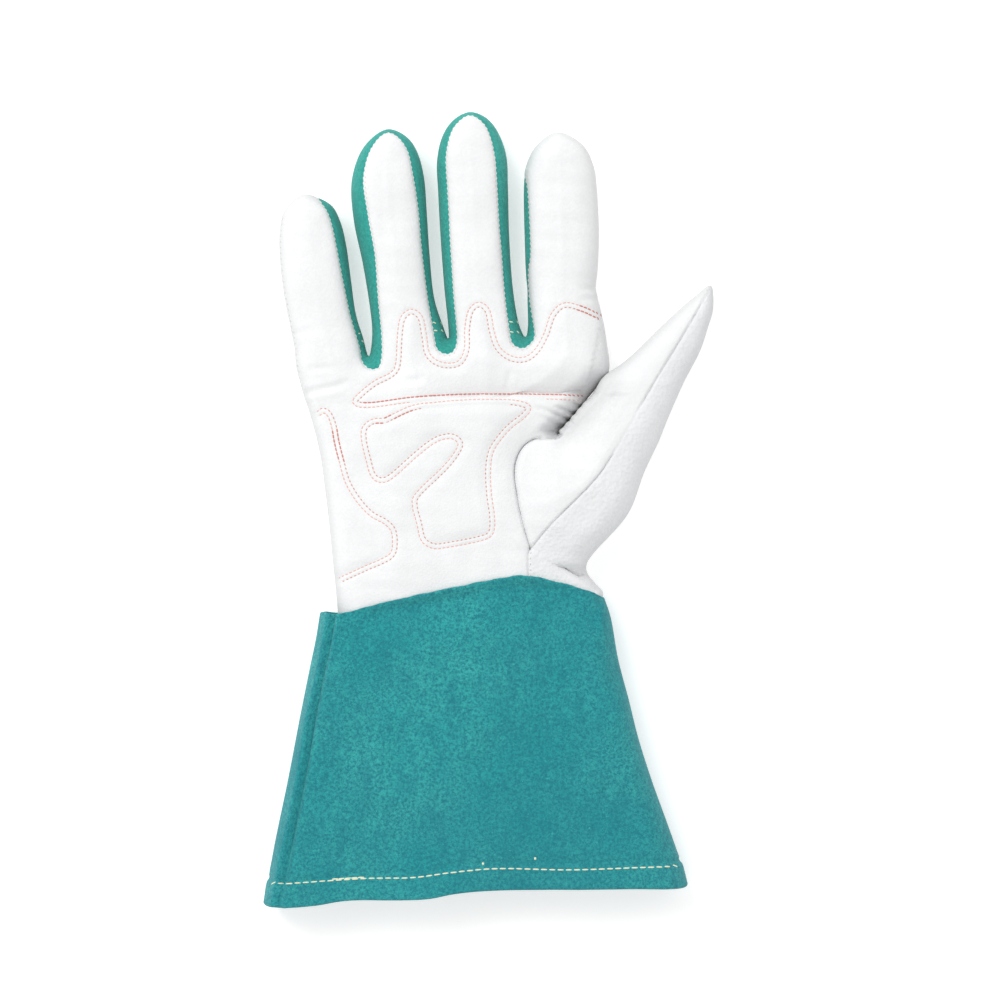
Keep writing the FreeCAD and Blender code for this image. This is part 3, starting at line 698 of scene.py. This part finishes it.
def make_mesh(name, spots, faces, paint, normals=None, edge=None):
    mesh = bpy.data.meshes.new(name)
    mesh.from_pydata((spots * MM).tolist(), [], faces if isinstance(faces, list) else faces.tolist())
    mesh.polygons.foreach_set("use_smooth", [True] * len(mesh.polygons))
    rest = mesh.attributes.new("rest", "FLOAT_VECTOR", "POINT")
    rest.data.foreach_set("vector", (spots * MM).astype(np.float32).ravel())
    if edge is not None:
        mesh.attributes.new("edge", "FLOAT", "POINT").data.foreach_set("value", edge.astype(np.float32))
    mesh.update()
    if normals is not None:
        mesh.normals_split_custom_set_from_vertices(normals.tolist())
    mesh.materials.append(paint)
    return placed(name, mesh)


EDGE_SHADE = fade(gap_to(OUTLINE, SKIN[:, :2]), 2.2)  # where the leather is painted a little greyer: painted shade at its rounded rim


def thick_skin(name, faces, paint, below=0.0, thickness=LEATHER):
    """A piece of leather that follows the given faces, with its inner side and the cut rim between."""
    used, local = np.unique(faces, return_inverse=True)
    local = local.reshape(-1, 3)
    normal = NORMALS[used]
    outer = SKIN[used] - normal * below
    inner = outer - normal * thickness
    count = len(used)
    sides = np.vstack([local[:, [0, 1]], local[:, [1, 2]], local[:, [2, 0]]])
    known = {tuple(side) for side in sides.tolist()}
    rim = sorted((a, b) for a, b in known if (b, a) not in known)
    all_faces = local.tolist() + (local[:, ::-1] + count).tolist()
    all_faces += [(b, a, a + count, b + count) for a, b in rim]
    return make_mesh(name, np.vstack([outer, inner]), all_faces, paint, np.vstack([normal, -normal]),
                     np.tile(EDGE_SHADE[used], 2))


def zone_of(middles):
    """The digit length ("ring_base", "ring_tip") or "hand" that each face belongs to."""
    zones = np.full(len(middles), "hand", dtype=object)
    wing = inside(middles, WING_AREA)
    nearest = np.full(len(middles), 1e9)
    for digit in DIGITS.values():
        forward, aside = digit.local(middles)
        allowed = wing if digit.name == "thumb" else ~wing
        reach = THUMB_WIDE if digit.name == "thumb" else FINGER_WIDE
        mine = allowed & (forward > -digit.reach) & (np.abs(aside) < np.minimum(nearest, reach))
        nearest[mine] = np.abs(aside[mine])
        zones[mine] = np.where(forward[mine] < digit.split, digit.name + "_base", digit.name + "_tip")
    return zones


def label_of(middles, front):
    labels = np.where(front, "front", "back").astype(object)
    labels[~inside(middles, WHITE_AREA)] = "strip"
    wing = inside(middles, WING_AREA)
    right = inside(middles, WING_RIGHT)
    thumb = np.char.startswith(zone_of(middles).astype(str), "thumb")
    panel = wing & (front | thumb)
    labels[panel] = np.where(right[panel], "right", "left")
    return labels


def ride_wrist(piece):
    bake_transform(piece)


def ride_zone(piece, zone):
    """Bakes a piece's placement into its mesh; the ends of the hinge that its zone bends at are worked out but not
    used.
    """
    if zone == "hand":
        ride_wrist(piece)
        return
    name, length = zone.split("_")
    digit = DIGITS[name]
    centre, half = (0, digit.reach) if length == "base" else (digit.bend, 10)
    ends = [tuple(digit.place(forward, 0) * MM) + (0.016,) for forward in (centre - half, centre + half)]
    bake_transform(piece)


MIDDLES = np.tile(FLAT[TRIANGLES].mean(axis=1), (2, 1))
ZONES = zone_of(MIDDLES)
LABELS = label_of(MIDDLES, IS_FRONT_FACE)
NODES = frame["nodes"]
HAND_PIECES = {"front": ("palm_skin", ["palm_panel"]), "back": ("back_skin", ["back_panel"]),
               "left": ("thumb_wing_left_skin", ["thumb_wing_left"]),
               "right": ("thumb_wing_right_skin", ["thumb_wing_right"]), "strip": ("crotch_strips_skin", [])}


def named_piece(zone, label):
    """The name of a piece of skin and the CAD nodes it stands for."""
    if zone == "hand":
        return HAND_PIECES[label]
    name, length = zone.split("_")
    if label == "strip":
        return f"{zone}_strip_skin", [node for node in NODES if node.startswith(f"{zone}_strip")]
    nodes = [f"{zone}_{label}"]
    if label in ("front", "left"):
        nodes.append(f"{name}_{'knuckle' if length == 'base' else 'middle'}_fold")
    return f"{zone}_{label}_skin", nodes


for zone in sorted(set(ZONES)):
    for label in ("front", "back", "left", "right", "strip"):
        chosen = SKIN_FACES[(ZONES == zone) & (LABELS == label)]
        if len(chosen) == 0:
            continue
        name, nodes = named_piece(zone, label)
        green = label == "strip"
        piece = thick_skin(name, chosen, STRIP_GREEN if green else PEBBLED if label == "right" else WHITE)
        if nodes:
            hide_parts(*nodes)
        ride_zone(piece, zone)

# The three pads sewn inside the palm, in one piece for each length that bends.
for pad, area in PAD_AREAS.items():
    under = IS_FRONT_FACE & (LABELS == "front") & inside(MIDDLES, area)
    for zone in sorted(set(ZONES[under])):
        chosen = SKIN_FACES[under & (ZONES == zone)]
        piece = thick_skin(f"{pad}_patch_{zone}", chosen, INNER, LEATHER + 0.05, PAD)
        if zone == "hand":
            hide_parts(f"{pad}_patch")
        ride_zone(piece, zone)


# ---- cuff ----

SUEDE, HEM = 1.3, 2.5
CUFF_LONG, HEM_DEEP = 115.0, 9.3
CUFF_MIDDLE, CUFF_FRONT, CUFF_BACK, CUFF_ROUND = 12.5, 14.6, 12.4, 13.0
BAND_COLUMNS, SIDE_COLUMNS, CUFF_ROWS = 10, 124, 118
BAND_SHARES = (0.046, 0.040)  # how much of the top and of the mouth the band at the left seam takes
SETTLED, SMOOTHINGS = 0.17, 14
PALM_TREE = BVHTree.FromPolygons(SKIN.tolist(), SKIN_FACES[IS_FRONT_FACE].tolist())


def at(line, share):
    """The point of a line at each share of its length."""
    marks = np.linspace(0, 1, len(line))
    return np.stack([np.interp(share, marks, line[:, axis]) for axis in (0, 1)], axis=-1)


def cuff_columns():
    """How far across from the left edge each column of the cuff is at its top and at its mouth."""
    k = np.linspace(0, 1, BAND_COLUMNS, endpoint=False)
    band = 1 - np.cos(k * math.pi / 2)
    k = np.linspace(0, 1, SIDE_COLUMNS, endpoint=False)
    main = np.sin(k * math.pi / 2)
    back = 0.5 + 0.5 * np.cos(k * math.pi)
    return [np.concatenate([share * band, share + (1 - share) * main, back]) for share in BAND_SHARES]


def cuff_surface():
    """Outer face of the cuff: rows from its top edge to its mouth, columns once round."""
    left, right = smooth_curve(CUFF_LEFT, step=0.5), smooth_curve(CUFF_RIGHT, step=0.5)
    top, mouth = smooth_curve(CUFF_TOP, step=0.5), smooth_curve(CUFF_MOUTH, step=0.5)
    columns = cuff_columns()
    front = np.arange(len(columns[0])) < BAND_COLUMNS + SIDE_COLUMNS
    grid = np.zeros((CUFF_ROWS, len(front), 3))
    for row, share in enumerate(np.linspace(0, 1, CUFF_ROWS)):
        across = ((1 - share) * columns[0] + share * columns[1])[:, None]
        start, end = at(left, share), at(right, share)
        lift = [at(line, across[:, 0]) - line[0] * (1 - across) - line[-1] * across for line in (top, mouth)]
        spot = start + (end - start) * across + (1 - share) * lift[0] + share * lift[1]
        deep = np.linalg.norm(end - start) * np.minimum(across, 1 - across)[:, 0]
        high = rounding(deep, CUFF_ROUND)
        grid[row, :, :2] = spot
        grid[row, :, 2] = CUFF_MIDDLE + np.where(front, CUFF_FRONT, -CUFF_BACK) * high
    return grid, front


def cuff_relief(grid, front):
    """Waves, the side seam's groove, the hem and the way the top edge settles on the hand."""
    flat = grid.reshape(-1, 3)
    rows = np.repeat(np.linspace(0, 1, CUFF_ROWS), grid.shape[1])
    on_front = np.tile(front, CUFF_ROWS)
    above_mouth = (1 - rows) * CUFF_LONG
    deep = ramp(np.abs(flat[:, 2] - CUFF_MIDDLE), 5, 11)
    out = deep * (0.25 + 0.9 * rows) * ripple(flat, 62, 11) * 0.8 + 0.22 * deep * ripple(flat, 19, 12)
    out += 0.45 * (1 - ramp(above_mouth, HEM_DEEP - 1.0, HEM_DEEP + 0.5)) - 0.55 * fade(above_mouth - HEM_DEEP, 0.9)
    out += 0.12 * fade(above_mouth - HEM_DEEP, 5) * ripple(flat, 6, 13)
    gap = grid - grid[:, BAND_COLUMNS:BAND_COLUMNS + 1]
    from_seam = np.linalg.norm(gap, axis=2).ravel()
    sunk = (1.2 + 1.4 * ramp(above_mouth, 0, 30)) * fade(from_seam, 0.7)
    out -= np.where(on_front, sunk - 0.8 * fade(from_seam - 2.6, 1.6), 0)
    moved = flat + normals_of_grid(grid).reshape(-1, 3) * out[:, None]
    lift = np.zeros(len(flat))
    for number in np.flatnonzero(on_front & (rows < SETTLED)):
        hit = PALM_TREE.ray_cast(Vector((flat[number, 0], flat[number, 1], 80)), Vector((0, 0, -1)))[0]
        if hit is not None:
            settled = (hit[2] + SUEDE + 0.5 - moved[number, 2]) * (1 - ramp(rows[number], 0.02, SETTLED))
            lift[number] = max(settled, -2.2)
    lift = lift.reshape(grid.shape[:2])
    for _ in range(SMOOTHINGS):
        lift = (lift + np.roll(lift, 1, axis=1) + np.roll(lift, -1, axis=1)) / 3
    moved[:, 2] += lift.ravel()
    edge = 0.14 * ripple(flat[:, :1], 9, 21) + 0.05 * ripple(flat[:, :1], 2.6, 22)
    moved[:, 1] += edge * (1 - ramp(rows, 0, 0.1))
    moved[:, 2] = np.maximum(moved[:, 2], 0)
    return moved.reshape(grid.shape)


def normals_of_grid(grid):
    down = np.gradient(grid, axis=0)
    round_way = np.roll(grid, -1, axis=1) - np.roll(grid, 1, axis=1)
    out = np.cross(down, round_way)
    return out / np.maximum(np.linalg.norm(out, axis=2), 1e-9)[:, :, None]


CUFF_PLAIN, CUFF_IS_FRONT = cuff_surface()
CUFF = cuff_relief(CUFF_PLAIN, CUFF_IS_FRONT)
CUFF_NORMALS = normals_of_grid(CUFF)
CUFF_DOWN = np.gradient(CUFF, axis=0)
CUFF_DOWN /= np.linalg.norm(CUFF_DOWN, axis=2)[:, :, None]
CUFF_ACROSS = CUFF.shape[1]


def cuff_wall(name, profile, columns, ring=False):
    """Suede along some columns of the cuff; its section is a closed loop of (row, further down, deep, turn)."""
    columns = np.array(columns) % CUFF_ACROSS
    rows = [(CUFF[row][columns], CUFF_NORMALS[row][columns], CUFF_DOWN[row][columns]) for row, *_ in profile]
    spots = np.stack([spot + way * down - out * deep
                      for (spot, out, way), (_, down, deep, _) in zip(rows, profile)])
    normals = np.stack([out * math.cos(turn) + way * math.sin(turn)
                        for (_, out, way), (*_, turn) in zip(rows, profile)])
    count, wide = spots.shape[:2]
    numbers = np.arange(count * wide).reshape(count, wide)
    below = np.roll(numbers, -1, axis=0)
    faces = np.stack([numbers, below, np.roll(below, -1, axis=1), np.roll(numbers, -1, axis=1)], axis=-1)
    faces = (faces if ring else faces[:, :-1]).reshape(-1, 4).tolist()
    if not ring:
        for k in range(count // 2 - 1):
            faces.append([numbers[j, 0] for j in (count - 1 - k, count - 2 - k, k + 1, k)])
            faces.append([numbers[j, -1] for j in (k, k + 1, count - 2 - k, count - 1 - k)])
    piece = make_mesh(name, spots.reshape(-1, 3), faces, GREEN, normals.reshape(-1, 3))
    ride_wrist(piece)
    return piece


def nose(row, thickness, way):
    """A rounded edge from the outer side to the inner side (way 1 at the mouth, -1 at the top)."""
    half = thickness / 2
    turns = np.linspace(0, math.pi, 7)[1:-1]
    return [(row, way * half * math.sin(turn), half - half * math.cos(turn), way * turn) for turn in turns]


LAST = CUFF_ROWS - 1
HEM_TOP = LAST - round(HEM_DEEP / CUFF_LONG * LAST)
PANEL_END = LAST - 2
outer_rows = [(row, 0, 0, 0) for row in range(0, PANEL_END + 1)]
inner_rows = [(row, 0, SUEDE, math.pi) for row in range(PANEL_END, -1, -1)]
top_edge = nose(0, SUEDE, -1)[::-1]
panel_loop = top_edge[-2:] + outer_rows + inner_rows + top_edge[:-2]
hem_loop = ([(row, 0, 0, 0) for row in range(PANEL_END, LAST + 1)] + nose(LAST, HEM, 1)
            + [(row, 0, HEM, math.pi) for row in range(LAST, HEM_TOP - 3, -1)]
            + [(row, 0, SUEDE + 0.06, 0) for row in range(HEM_TOP - 3, PANEL_END + 1)])
RIGHT_EDGE = BAND_COLUMNS + SIDE_COLUMNS
cuff_front = cuff_wall("cuff_front_suede", panel_loop, range(BAND_COLUMNS, RIGHT_EDGE + 1))
cuff_back = cuff_wall("cuff_back_suede", panel_loop, range(RIGHT_EDGE, CUFF_ACROSS + BAND_COLUMNS + 1))
cuff_hem = cuff_wall("cuff_hem_suede", hem_loop, range(CUFF_ACROSS), ring=True)
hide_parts("cuff_front", "wrist_fold")
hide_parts("cuff_back")
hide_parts("cuff_hem")


# ---- stitches ----

STITCH_SIDES, STITCH_RINGS = 6, 5


def stitch_form():
    """One stitch, 1 long, 1 wide and 1 high: a round thread whose two ends dip into the leather."""
    spots = [(-0.5, 0, -0.6)]
    for ring in range(STITCH_RINGS):
        along = (ring + 1) / (STITCH_RINGS + 1) - 0.5
        size = 0.5 * math.sqrt(1 - abs(2 * along) ** 3)
        for turn in np.arange(STITCH_SIDES) * 2 * math.pi / STITCH_SIDES:
            spots.append((along, size * math.cos(turn), size * math.sin(turn) - 0.6 * abs(2 * along) ** 3))
    spots.append((0.5, 0, -0.6))
    last = len(spots) - 1
    faces = []
    for side in range(STITCH_SIDES):
        following = (side + 1) % STITCH_SIDES
        faces.append((0, 1 + following, 1 + side))
        for ring in range(STITCH_RINGS - 1):
            first = 1 + ring * STITCH_SIDES
            faces.append((first + side, first + following, first + STITCH_SIDES + following,
                          first + STITCH_SIDES + side))
        first = 1 + (STITCH_RINGS - 1) * STITCH_SIDES
        faces.append((last, first + side, first + following))
    return np.array(spots), faces


FORM, FORM_FACES = stitch_form()


def stitch_piece(name, places, ways, ups, size, paint, heavy=None):
    """Stitches in one mesh: each lies along its way, on the surface whose normal is up."""
    aside = np.cross(ups, ways)
    aside /= np.linalg.norm(aside, axis=1)[:, None]
    along = np.cross(aside, ups)
    heavy = np.zeros(len(places)) if heavy is None else heavy
    grow = (1 + 0.35 * heavy)[:, None, None]
    spots = (places[:, None] + along[:, None] * FORM[None, :, :1] * size[0] * (0.3 + 0.7 * grow)
             + aside[:, None] * FORM[None, :, 1:2] * size[1] * grow
             + ups[:, None] * FORM[None, :, 2:] * size[2] * grow)
    faces = [tuple(corner + number * len(FORM) for corner in face)
             for number in range(len(places)) for face in FORM_FACES]
    piece = make_mesh(name, spots.reshape(-1, 3), faces, paint)
    weight = piece.data.attributes.new("heavy", "FLOAT", "POINT")
    weight.data.foreach_set("value", np.repeat(heavy, len(FORM)).astype(np.float32))
    return piece


def dashes(line, pitch, start=0.0):
    """Middles and directions of stitches along a line."""
    run = run_along(line)
    marks = np.arange(start + pitch / 2, run[-1], pitch)
    ends = [along_line(line, run, marks + shift) for shift in (-0.3, 0.3)]
    ways = ends[1] - ends[0]
    return (ends[0] + ends[1]) / 2, ways / np.linalg.norm(ways, axis=1)[:, None]


def laid_on(tree, middles, ways, down=-1.0):
    """Where stitches above (or below) a surface land on it: places, directions and normals."""
    found = []
    for number, (middle, way) in enumerate(zip(middles, ways)):
        start = Vector((middle[0], middle[1], -80.0 * down))
        place, normal, *_ = tree.ray_cast(start, Vector((0, 0, down)))
        if place is not None:
            normal = normal if normal.z * down < 0 else -normal
            found.append((number, tuple(place), (way[0], way[1], 0), tuple(normal)))
    numbers = [row[0] for row in found]
    return (numbers,) + tuple(np.array([row[k] for row in found]) for k in (1, 2, 3))


def hand_stitches(name, lines, pitch, size, paint, replaces=None, sink=0.0, shift=0.0):
    """Stitch rows on the palm face, in one piece for each length that bends."""
    parts = [dashes(line, pitch, shift) for line in lines]
    middles, ways = np.vstack([part[0] for part in parts]), np.vstack([part[1] for part in parts])
    for row in HIDDEN_ROWS:
        shown = gap_to(np.array(row, float), middles) > HIDDEN_WIDE
        middles, ways = middles[shown], ways[shown]
    kept, places, ways, ups = laid_on(PALM_TREE, middles, ways)
    middles = middles[kept]
    heavy = np.zeros(len(middles))
    if paint is PINK:
        for line, wide in HEAVY_ROWS:
            heavy[gap_to(np.array(line, float), middles) < wide] = 1
    zones = zone_of(middles)
    for zone in sorted(set(zones)):
        mine = zones == zone
        piece = stitch_piece(f"{name}_{zone}", places[mine] - ups[mine] * sink, ways[mine], ups[mine], size, paint,
                             heavy[mine])
        if replaces and zone == "hand":
            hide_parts(replaces)
        ride_zone(piece, zone)


HIDDEN_WIDE = 0.26
# Where the stitching was gone over twice: line and half width.
HEAVY_ROWS = [
    ([(-49.6, 42.2), (-31.6, 44.6)], 0.8),
    ([(-31.6, 44.6), (-20, 45.4), (-10, 45.95), (1, 46.05), (15, 45.95), (39, 45.5)], 0.6),
    ([(-44.8, 34.6), (-31.4, 39.4)], 1.0),
    ([(-62.4, 31), (-61.2, 26), (-59.6, 20)], 1.3),
    ([(36.8, 80.3), (44.8, 77)], 1.4),
]
# Stretches of a row that the fold of the crease hides.
HIDDEN_ROWS = [[(-31, 42.8), (-20, 43.5), (-10, 44.05), (1, 44.15), (15, 44.05), (22, 43.9)],
               [(-26, 40.2), (-22, 40.7), (-10, 41.65), (2, 41.85), (8, 41.65)]]
pink_lines = [beside(line, side * ROW_GAP) for line in ROW_SETS.values() for side in (-1, 1)]
hand_stitches("pink_stitching", pink_lines, 1.75, (1.7, 0.52, 0.42), PINK, "palm_stitching")
# Dark dots at the needle holes: painted shade inside the holes.
holes = [beside(line, side * ROW_GAP)[1:] for line, side in zip(ROW_SETS.values(), (-1, -1, 1))]
hand_stitches("needle_holes", holes, 1.75, (0.55, 0.55, 0.5), HOLE_SHADE, shift=0.875)
hand_stitches("edge_stitching", [beside(STRIP, -1.0)], 2.1, (1.1, 0.34, 0.3), PINK, sink=0.05)
CROTCH_ROWS = [[(-53.8, 70.4), (-51.0, 70.8)], [(-52.6, 67.2), (-49.6, 67.8)], [(-23.4, 74.8), (-17.0, 74.6)],
               [(-23.0, 71.6), (-16.8, 71.6)], [(7.4, 75.1), (12.8, 75.1)], [(7.6, 71.0), (13.0, 71.0)]]
hand_stitches("crotch_stitching", [np.array(row, float) for row in CROTCH_ROWS], 2.6, (2.3, 0.6, 0.5), CREAM)
outer_edge = OUTLINE[(OUTLINE[:, 0] < -76) & (OUTLINE[:, 1] > 53) & (OUTLINE[:, 1] < 118)]
hand_stitches("seam_stitching", [beside(WRIST_SEAM, 0.8)[:16], beside(outer_edge, -1.0)], 2.3, (1.0, 0.45, 0.4),
              GREY)

HEM_ROW = smooth_curve([(-88.4, -150.2), (-81.5, -150.3), (-51.3, -148.3), (-31.6, -147.9), (-15.5, -145.9),
                        (3, -144.3), (30.8, -144.7), (60, -143.8), (76.4, -143.6)])
TACK_MARKS = np.array([(-2.6, -142.3), (18.3, -140.3)])
CUFF_QUADS = [(a, a + 1, b + 1, b) for a, b in
              ((row * CUFF_ACROSS + column, (row + 1) * CUFF_ACROSS + column)
               for row in range(CUFF_ROWS - 1) for column in range(CUFF_ACROSS - 1))]
CUFF_TREE = BVHTree.FromPolygons(CUFF.reshape(-1, 3).tolist(), CUFF_QUADS)
rows = []
for down in (-1.0, 1.0):
    middles, ways = dashes(HEM_ROW, 3.3)
    if down < 0:
        extra, extra_ways = dashes(HEM_ROW[(HEM_ROW[:, 0] > -64) & (HEM_ROW[:, 0] < -50)], 2.6)
        middles, ways = np.vstack([middles, extra + (0, 0.5)]), np.vstack([ways, extra_ways])
    rows.append(laid_on(CUFF_TREE, middles, ways, down)[1:])
places, ways, ups = (np.vstack([side[k] for side in rows]) for k in range(3))
hem_thread = stitch_piece("hem_stitching_thread", places, ways, ups, (3.3, 0.62, 0.5), CREAM)
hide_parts("hem_stitching")
_, places, ways, ups = laid_on(CUFF_TREE, TACK_MARKS, np.array([(1.0, 0.0), (1.0, 0.0)]))
cuff_marks = stitch_piece("cuff_tack_marks", places, ways, ups, (1.2, 1.2, 0.5), CREAM)
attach(cuff_marks, "cuff")
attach(hem_thread, "cuff")


# ---- floor, light, camera ----

floor_mesh = bpy.data.meshes.new("floor")
floor_mesh.from_pydata([(-3, -3, -0.0005), (3, -3, -0.0005), (3, 3, -0.0005), (-3, 3, -0.0005)], [], [(0, 1, 2, 3)])
floor = placed("floor", floor_mesh)
floor_paint = bpy.data.materials.new("floor")
floor_paint.use_nodes = True
fill_in(floor_paint.node_tree.nodes["Principled BSDF"], Base_Color=(0.75, 0.75, 0.75, 1), Roughness=0.9,
        Emission_Color=(1, 1, 1, 1), Emission_Strength=0.45)
floor_mesh.materials.append(floor_paint)

world = bpy.data.worlds.new("studio")
world.use_nodes = True
fill_in(world.node_tree.nodes["Background"], Color=(1, 1, 1, 1), Strength=0.80)
bpy.context.scene.world = world
bpy.context.scene.view_settings.view_transform = "Standard"


def area_light(name, place, aim, size, power):
    light = bpy.data.lights.new(name, "AREA")
    light.shape = "SQUARE"
    light.size = size
    light.energy = power
    made = placed(name, light)
    made.location = place
    made.rotation_euler = (Vector(aim) - Vector(place)).to_track_quat("-Z", "Y").to_euler()


area_light("key", (-1.0, 1.2, 2.0), (0, 0, 0), 1.2, 30)

lens = bpy.data.cameras.new("camera")
camera = placed("camera", lens)
camera.location = (0.0042, 0.0034, 1.62)
lens.lens = 36 * 1.60 / 0.4025
lens.sensor_width = 36
lens.clip_end = 20
bpy.context.scene.camera = camera
